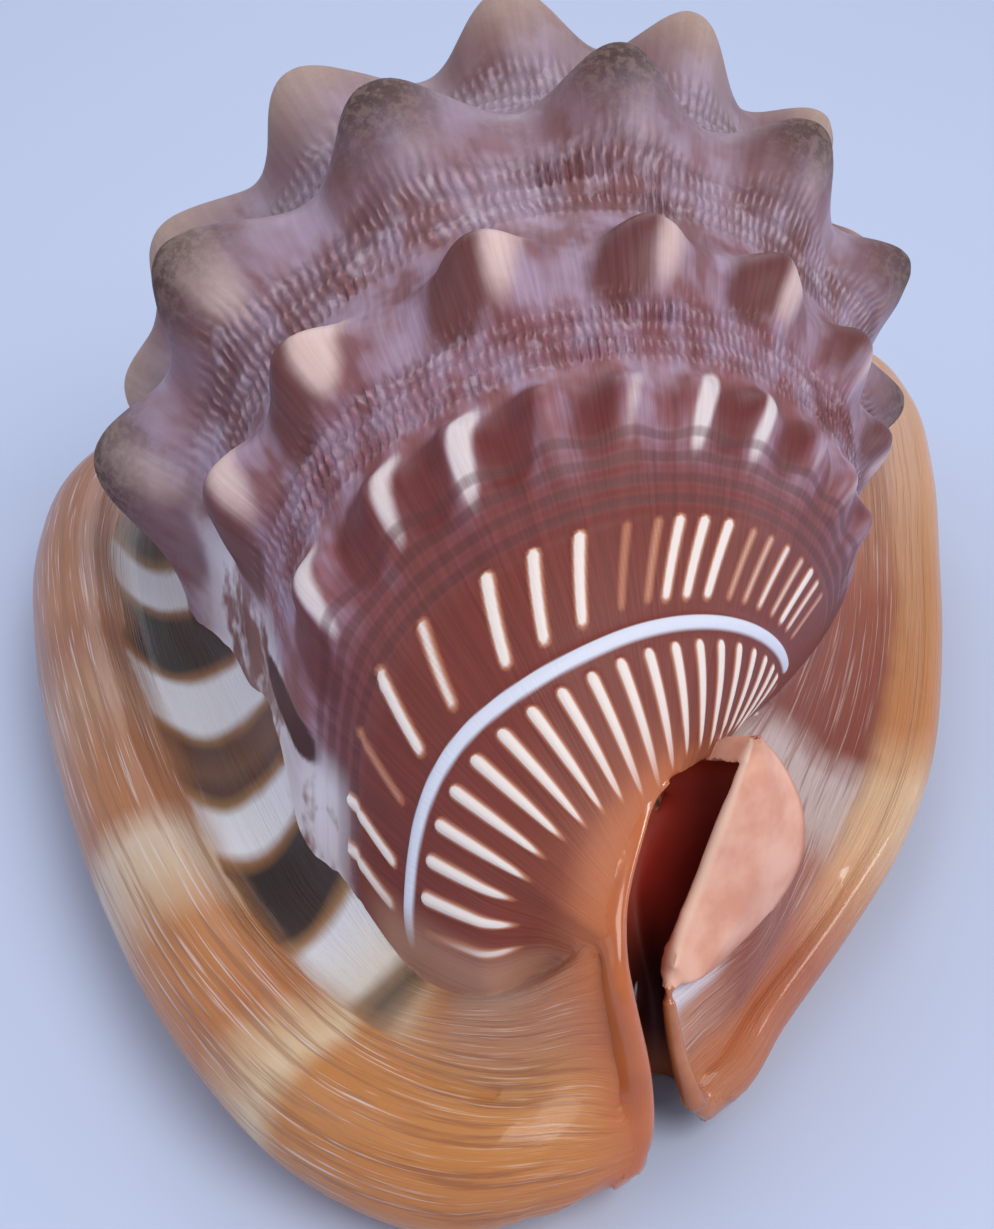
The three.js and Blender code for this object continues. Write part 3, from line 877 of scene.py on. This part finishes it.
def cloud(vector, scale, detail=3, rough=0.55):
    return feedNamed(addNode("TexNoise"), {"Vector": vector, "Scale": scale, "Detail": detail, "Roughness": rough})


def hereCloud(scale, detail=3, rough=0.55):
    return cloud(addNode("TexCoord").outputs["Object"], scale, detail, rough)


# Noise drawn out along two coordinates of the shell
def streaks(first, firstScale, second, secondScale, detail=3, rough=0.55):
    spot = feedAll(addNode("CombineXYZ"), times(first, firstScale), times(second, secondScale))
    return cloud(spot, 1, detail, rough)


def stripes(value, low, high, stops):
    node = addNode("ValToRGB")
    elements = node.color_ramp.elements
    while len(elements) > 1:
        elements.remove(elements[-1])
    for index, (position, code) in enumerate(stops.items()):
        share = (position - low) / (high - low)
        element = elements[0] if index == 0 else elements.new(share)
        element.position = share
        element.color = linear(code)
    feed(node.inputs[0], maths("DIVIDE", maths("SUBTRACT", value, low), high - low))
    return node.outputs[0]


def glaze(name, roughness, coat, coatRoughness):
    material = bpy.data.materials[name]
    material.use_nodes = True
    look["tree"] = material.node_tree
    look["tree"].nodes.clear()
    look["shader"] = addNode("BsdfPrincipled")
    own = {"Roughness": roughness, "Coat Weight": coat, "Coat Roughness": coatRoughness}
    feedNamed(look["shader"], {**glazing, **own})
    feed(addNode("OutputMaterial").inputs[0], look["shader"].outputs[0])


def finishLook(colour, height=None, distance=0):
    feed(look["shader"].inputs["Base Color"], colour)
    if height is not None:
        raised = feedNamed(addNode("Bump"), {"Strength": 1, "Distance": distance, "Height": height})
        feed(look["shader"].inputs["Normal"], raised)


whorlTones = {
    -13: "#b07a58", -9.5: "#a8674c", -7.5: "#7a392b", -1: "#773329", 7.5: "#743026", 9.5: "#7a3d39",
    14: "#7e4448", 17: "#8f5f66", 24: "#8f6068", 27: "#936773", 33: "#936875", 37: "#957886",
    47: "#987c8c", 52: "#987882", 59: "#9a7f8d", 66: "#967f8e", 80: "#988594", 95: "#937b7e",
    104: "#96807c", 115: "#b39a88",
}


def dressWhorl():
    glaze("shell whorl", roughness=0.4, coat=0, coatRoughness=0.3)
    angle, place = field("spiral")[:2]
    rib, thread, dash = field("neckMarks")
    flank, crest, tip = field("knobMarksAndLight")
    callus, lens, wrinkled = field("glazeMarks")
    glow, suture = field("edgeGlow")[:2]
    cloudy = hereCloud(90, 4)
    speckle = hereCloud(900, 3, 0.7)
    marble = hereCloud(130, 5, 0.6)
    growth = streaks(angle, 1.1, place, 0.06, 4, 0.65)
    patch = streaks(angle, 0.16, place, 0.12, 2)
    block = streaks(angle, 0.22, place, 0.35, 2)

    # Bands round the coil, with lilac, rusty and dark patches
    colour = stripes(shaken(place, cloudy, 4), -15, 117, whorlTones)
    lilac = times(ease(patch, 0.45, 0.66), between(place, 14, 90, 3))
    rusty = times(ease(patch, 0.5, 0.36), between(place, 9, 62, 6))
    marbled = times(ease(marble, 0.5, 0.62), ease(place, 30, 50))
    colour = painted(colour, [
        (times(lilac, 0.65), "#aa97ae"), (times(rusty, 0.6), "#76392f"), (times(marbled, 0.5), "#7c5a5e")])

    # Red flank of each knob, its own red with painted shade; pale crest, its own pale colour with painted highlight;
    # worn tip
    flankRedAndShade = ease(shaken(flank, cloudy, 0.5), 0.18, 0.6)
    crestPaleAndHighlight = ease(shaken(crest, cloudy, 0.5), 0.2, 0.7)
    worn = tint(ease(speckle, 0.42, 0.62), "#44322b", "#6e5a4f")
    worn = tint(ease(place, 78, 82, 0, 0.75), worn, "#c2a99c")
    # The flank tone carries painted shade and the crest tone painted highlight, besides the knob's own red and pale
    flankToneAndShade = tint(ease(place, 28, 33), "#682826", "#653330")
    crestToneAndHighlight = tint(ease(place, 27, 32), "#dcd2d2", "#dcc3bc")
    colour = painted(colour, [
        (times(flankRedAndShade, ease(place, 52, 62, 0.95, 0.6)), flankToneAndShade),
        (times(crestPaleAndHighlight, ease(place, 52, 62, 0.95, 0.7)), crestToneAndHighlight), (times(tip, 0.9), worn)])

    # Wrinkled bands, with painted shade in the furrows and painted highlight on the bead tops, fine rings and growth
    # streaks
    lines = wave(scaled(cloudy, 5, angle), relief["wrinklePitch"])
    cross = wave(plus(place, cloudy), relief["beadPitch"])
    netted = maths("MAXIMUM", ease(lines, 0.1, -0.9), ease(cross, -0.5, -1, 0, 0.45))
    # Darker furrows are painted shade in the wrinkle troughs; paler bead tops are painted highlight on the crests
    furrowShade = times(netted, times(wrinkled, ease(marble, 0.36, 0.58, 0.45, 1.25)))
    beadTopHighlight = times(ease(lines, 0.2, 1), ease(cross, -0.2, 0.8))
    rings = wave(place, relief["fineThread"])
    ringed = times(ease(rings, 0, -0.9), between(place, 8.8, 15.6, 0.8))
    colour = painted(colour, [
        (times(ease(block, 0.54, 0.7, 0, 0.45), wrinkled), "#c4b4c2"), (times(furrowShade, 0.36), "#4f3038"),
        (times(times(beadTopHighlight, wrinkled), 0.3), "#c8a9ae"), (times(ringed, 0.5), "#552a2c")])
    streak = tint(ease(growth, 0.3, 0.7), "#6a4a50", "#d9c9d2")
    colour = tint(ease(place, 40, 60, 0.35, 0.15), colour, streak, "SOFT_LIGHT")

    # Suture, white ribs, dashes and thread, glaze beside the lip, foot and canal edge
    white = maths("MAXIMUM", rib, dash)
    strip = tint(ease(cloudy, 0.4, 0.5), "#7d5450", "#e2dde6")
    bare = times(callus, ease(flankRedAndShade, 0, 1, 0.9, 0.15))
    atFoot = times(ease(angle, 183, 194, 0, 0.85), ease(place, 10, 4))
    colour = painted(colour, [
        (times(suture, 0.7), "#4a302c"), (ease(white, 0.06, 0.3, 0, 0.8), "#b87456"),
        (ease(white, 0.25, 0.62), "#e8dcd6"), (ease(thread, 0.2, 0.6), "#d5d9e8"), (bare, strip),
        (lens, "#43191a"), (atFoot, "#a87c68"), (times(glow, 0.9), "#b5653a")])
    rough = painted(grey(0.45), [(tip, grey(0.85)), (callus, grey(0.28)), (lens, grey(0.55))])
    feed(look["shader"].inputs["Roughness"], rough)
    height = plus(times(times(lines, wrinkled), 0.6), times(times(cross, wrinkled), 0.5))
    height = scaled(speckle, scaled(tip, 1.5, 0.12), height)
    growthRise = times(ease(callus, 0, 1, 0.6, 0.1), ease(place, 40, 60, 1, 0.4))
    finishLook(colour, scaled(growth, growthRise, height), 0.00012)


# Stripes of the lip groove; their whites are greyed and cooled a little as painted shade in the groove
grooveTones = {
    0.28: "#8d6a66", 0.303: "#7d5a4c", 0.312: "#3f2318", 0.347: "#341c14", 0.359: "#7a5738",
    0.367: "#c4c0c9", 0.394: "#cac7d0", 0.401: "#7a5232", 0.409: "#22110d", 0.454: "#24120e",
    0.463: "#8a5c34", 0.471: "#dcdbe2", 0.507: "#dcdbe2", 0.516: "#8a5f3a", 0.524: "#532f20",
    0.545: "#6a4430", 0.559: "#4f2c1e", 0.568: "#8d6438", 0.576: "#dcdbe2", 0.601: "#dcdbe2",
    0.610: "#86592f", 0.618: "#23110d", 0.664: "#2e1812", 0.674: "#9a7048", 0.683: "#dcdbe2",
    0.721: "#d8cdc2", 0.731: "#8c7158", 0.741: "#665443", 0.754: "#8a7560", 0.766: "#c9b49a",
    0.80: "#bfa387",
}
rimTones = {
    0: "#a86c4e", 0.30: "#a86c4e", 0.40: "#a97252", 0.44: "#9a6448", 0.475: "#b08468", 0.49: "#b38a70",
    0.52: "#ad744e", 0.56: "#a96e46", 0.585: "#cbb39d", 0.605: "#c9ae92", 0.64: "#b97c4c",
    0.69: "#b47240", 0.725: "#d3b894", 0.74: "#b97a40", 0.80: "#b97840", 0.88: "#b46a36",
    0.95: "#b3602c", 1: "#b3602c",
}
frontTones = {
    -1: "#bf7236", -0.3: "#bb793e", 0.05: "#b87f4c", 0.35: "#a87558", 0.65: "#9e694e", 0.95: "#8e5540",
}


# The glossy underside: salmon, paler toward the mouth, with cream teeth on brown
def underTone(share, rise, cloudy):
    plain = tint(ease(cloudy, 0.3, 0.7), "#c47c4c", "#cf8d5e")
    plain = tint(ease(rise, -0.86, -0.95, 0, 0.6), plain, "#e0b08a")
    ridge = maths("COSINE", times(share, 2 * math.pi * lipForm["teeth"]))
    teeth = tint(ease(ridge, -0.2, 0.4), "#f2e0cc", "#8a4426")
    return tint(ease(rise, -0.95, -0.985), plain, teeth)


def dressLip():
    glaze("shell lip", roughness=0.34, coat=0.25, coatRoughness=0.12)
    share, rise = field("lipPlace")[:2]
    cloudy = hereCloud(60)
    strand = streaks(share, 9, rise, 26, 4, 0.6)
    fine = streaks(share, 14, rise, 70, 3, 0.6)
    rim = painted(stripes(shaken(share, cloudy, 0.03), 0, 1, rimTones), [
        (ease(strand, 0.52, 0.4, 0, 0.55), "#8f5f45"), (ease(fine, 0.56, 0.68, 0, 0.6), "#dccfd2")])
    atFoot = times(ease(rise, 0.45, 0.85, 0, 0.6), between(share, 0.77, 0.86, 0.03))
    front = painted(stripes(rise, -1, 1, frontTones), [
        (ease(strand, 0.52, 0.36, 0, 0.55), "#7f4832"), (ease(fine, 0.54, 0.7, 0, 0.45), "#dcc0b0"),
        (atFoot, "#bb9f8e")])
    lean = plus(ease(share, 0.5, 0.66, 0.056, 0), 0.012)
    slid = maths("SUBTRACT", share, times(lean, maths("SUBTRACT", rise, 0.5)))
    groove = stripes(shaken(slid, cloudy, 0.02), 0.27, 0.81, grooveTones)
    level = shaken(rise, cloudy, 0.24)
    groove = tint(ease(level, 0.4, 0.22), groove, tint(0.45, groove, "#a8764e"))
    inGroove = times(ease(level, 0.17, 0.22), ease(share, 0.79, 0.74))
    colour = painted(rim, [
        (ease(share, 0.765, 0.81), front), (inGroove, groove), (times(field("edgeGlow")[0], 0.95), "#b5653a"),
        (ease(rise, -0.55, -0.8), underTone(share, rise, cloudy))])
    finishLook(colour, plus(strand, times(fine, 0.5)), 0.00015)


bowlTones = {
    0: "#c08a70", 0.06: "#b07a62", 0.13: "#8e4830", 0.2: "#954c33", 0.27: "#a8694c", 0.31: "#bba39c",
    0.37: "#bfa9a6", 0.4: "#7e3522", 0.46: "#8a3c23", 0.53: "#984b2e", 0.6: "#b47c5e", 0.7: "#bf8f74",
    0.8: "#c79c84", 1: "#bf8c6c",
}
shieldTones = {
    0: "#b9744c", 0.1: "#b4683f", 0.2: "#ab5c38", 0.27: "#c48a60", 0.33: "#d3a983", 0.38: "#d6b08a",
    0.43: "#bd7b44", 0.55: "#bf8350", 0.65: "#cf9a70", 0.75: "#d0a284", 1: "#c08a6a",
}


def dressShield():
    glaze("shell shield", roughness=0.3, coat=0.35, coatRoughness=0.1)
    share, rise = field("lipPlace")[:2]
    cloudy = hereCloud(70)
    strand = streaks(share, 7, rise, 18, 4, 0.6)
    fine = streaks(share, 10, rise, 50)
    bent = shaken(share, cloudy, 0.05)
    streaky = times(ease(strand, 0.52, 0.38, 0, 0.6), ease(share, 0.5, 0.65, 1, 0.35))
    bowl = painted(stripes(bent, 0, 1, bowlTones), [
        (streaky, "#7c3f30"), (ease(fine, 0.55, 0.7, 0, 0.5), "#dbc4ba")])
    inBowl = ease(shaken(rise, cloudy, 0.2), 0.12, 0.32)
    atTip = times(ease(share, 0.11, 0.06), ease(rise, 0.55, 0.7))
    colour = painted(stripes(bent, 0, 1, shieldTones), [
        (inBowl, bowl), (atTip, "#d4c8cf"), (ease(rise, -0.55, -0.8), underTone(share, rise, cloudy))])
    finishLook(colour, plus(strand, times(fine, 0.5)), 0.0003)


# Canal inside: its own red, darkened toward the deep place under the flap as painted shade
canalTonesAndShade = {
    0: "#b8622f", 0.12: "#a8401f", 0.3: "#b84224", 0.45: "#a83020", 0.58: "#7a1c14", 0.75: "#3a0f0c",
    0.9: "#8a4a2c", 1: "#b8622f",
}
# Mouth slit, darker deeper into the shell: painted shade
mouthTonesAndShade = {-1: "#d8a27c", 4: "#b3653e", 12: "#6b2a1c", 17: "#3d1410"}


def dressCanal():
    glaze("shell canal", roughness=0.6, coat=0, coatRoughness=0.15)
    turn, level = field("lipPlace")[1:]
    cloudy = hereCloud(140)
    # Darkest at middle height and lighter toward the open top and bottom: painted shade inside the canal
    colour = painted(stripes(turn, 0, 1, canalTonesAndShade), [
        (ease(level, 24, 14, 0, 0.85), "#2c0d0b"), (ease(level, 27, 34, 0, 0.7), "#c4502c"),
        (ease(level, 8, 2, 0, 0.75), "#a8603c"), (ease(cloudy, 0.35, 0.7, 0, 0.25), "#4a1510")])
    finishLook(colour, cloudy, 0.0003)


def dressFlap():
    glaze("shell flap", roughness=0.5, coat=0, coatRoughness=0.3)
    ring = field("lipPlace")[1]
    grain = hereCloud(160, 4)
    # Darker brown on the flap's side and back toward the neck: painted shade
    colour = painted(tint(ease(grain, 0.35, 0.65), "#d4947c", "#e4b09a"), [
        (ease(ring, 0.22, 0.05, 0, 0.8), "#f0cdb8"), (ease(ring, 1.85, 2.1), "#a85a40")])
    finishLook(colour, grain, 0.0002)


def dressMouth():
    glaze("shell mouth", roughness=0.3, coat=0.4, coatRoughness=0.15)
    # Darker toward the top of the slit: painted shade
    colour = stripes(field("lipPlace")[2], mouth["below"], mouth["depth"], mouthTonesAndShade)
    finishLook(tint(ease(hereCloud(120), 0.3, 0.7, 0, 0.4), colour, "#8a4a34"))


def dressBead(name, tone, shade):
    glaze("shell " + name, roughness=0.25, coat=0.6, coatRoughness=0.08)
    finishLook(tint(ease(hereCloud(200), 0.3, 0.7), tone, shade))


dressBead("left", "#b8622f", "#ad5a30")
dressBead("right", "#b8764c", "#a05c38")
dressBead("bridge", "#b27a58", "#a56a4c")
for dress in (dressWhorl, dressLip, dressShield, dressCanal, dressFlap, dressMouth):
    dress()
print("materials dressed")
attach(shell, "root")
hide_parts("shell")


# Floor, light and camera
stageSet = dict(
    floorHalf=3, floorTone="#c0cdea", floorRoughness=0.6, camera=(-7.29, -170.82, 128.80), lens=49.8,
    clipStart=0.01, forward=(0.03013, 0.84303, -0.53703), up=(0.01918, 0.53668, 0.84357),
    lightsAim=(0, 0, 0.03), roomTone="#e6ebf5", roomStrength=0.6,
)
lights = dict(
    key=dict(place=(0.32, -0.42, 0.6), size=0.5, power=3.2, tone="#fffaf4"),
    fill=dict(place=(-0.6, -0.3, 0.5), size=0.8, power=1.2, tone="#f2f5ff"),
    window=dict(place=(0.95, 0.05, 0.24), size=0.2, power=1.1, tone="#ffffff"),
    back=dict(place=(0, 0.7, 0.6), size=0.7, power=1.7, tone="#f6f5ff"),
)


def makeFloor():
    bm = bmesh.new()
    bmesh.ops.create_grid(bm, x_segments=2, y_segments=2, size=stageSet["floorHalf"])
    floor = addObject("floor", meshFrom("floor", bm))
    material = bpy.data.materials.new("pale floor")
    material.use_nodes = True
    shader = material.node_tree.nodes["Principled BSDF"]
    shader.inputs["Base Color"].default_value = linear(stageSet["floorTone"])
    shader.inputs["Roughness"].default_value = stageSet["floorRoughness"]
    floor.data.materials.append(material)


def softLight(name, place, size, power, tone):
    data = bpy.data.lights.new(name, "AREA")
    data.shape = "DISK"
    data.size = size
    data.energy = power
    data.color = linear(tone)[:3]
    light = addObject(name, data)
    light.location = place
    light.rotation_euler = (Vector(stageSet["lightsAim"]) - Vector(place)).to_track_quat("-Z", "Y").to_euler()


def makeCamera():
    data = bpy.data.cameras.new("camera")
    data.lens = stageSet["lens"]
    data.clip_start = stageSet["clipStart"]
    camera = addObject("camera", data)
    back = -Vector(stageSet["forward"])
    up = Vector(stageSet["up"])
    turn = Matrix((up.cross(back), up, back)).transposed()
    camera.matrix_world = Matrix.Translation(Vector(stageSet["camera"]) * millimetre) @ turn.to_4x4()
    bpy.context.scene.camera = camera


def makeRoom():
    world = bpy.data.worlds.new("soft room")
    world.use_nodes = True
    background = world.node_tree.nodes["Background"]
    background.inputs[0].default_value = linear(stageSet["roomTone"])
    background.inputs[1].default_value = stageSet["roomStrength"]
    bpy.context.scene.world = world
    bpy.context.scene.view_settings.view_transform = "Standard"


makeFloor()
for lightName, settings in lights.items():
    softLight(lightName, **settings)
makeCamera()
makeRoom()
print("stage set")
